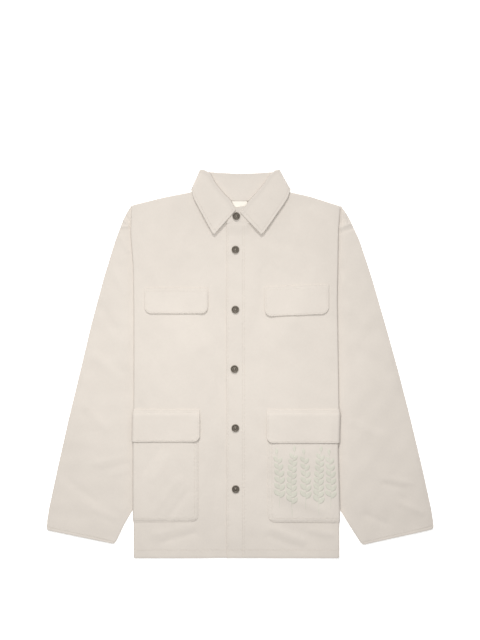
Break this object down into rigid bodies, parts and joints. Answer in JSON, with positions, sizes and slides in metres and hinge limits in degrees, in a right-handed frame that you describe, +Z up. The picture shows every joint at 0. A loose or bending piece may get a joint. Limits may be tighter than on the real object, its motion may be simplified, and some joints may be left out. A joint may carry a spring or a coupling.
{
  "type": "chore jacket",
  "caption": "Stone canvas chore jacket with collar, metal buttons, flapped chest pockets and flapped patch pockets, buttoned up and laid flat with sleeves beside the body.",
  "frame": {"origin": "on the floor under the middle of the laid jacket's box", "axes": "+Z up from the floor through the back to the front, +Y from the hem to the collar, +X to the wearer's left"},
  "size_m": [0.805, 0.8024, 0.0131],
  "materials": {
    "canvas": "matt cotton canvas, stone colour",
    "label": "plain woven label, off-white",
    "button_metal": "dark bronzed metal, satin"
  },
  "bodies": {
    "root": {"back": "canvas", "front_right": "canvas", "front_left": "canvas", "sleeve_right": "canvas", "sleeve_left": "canvas", "collar_stand": "canvas", "collar_leaf": "canvas", "chest_flap_right": "canvas", "chest_flap_left": "canvas", "pocket_right": "canvas", "pocket_left": "canvas", "pocket_flap_right": "canvas", "pocket_flap_left": "canvas", "neck_label": "label", "button_1": "button_metal", "button_2": "button_metal", "button_3": "button_metal", "button_4": "button_metal", "button_5": "button_metal", "button_6": "button_metal"}
  },
  "joints": []
}
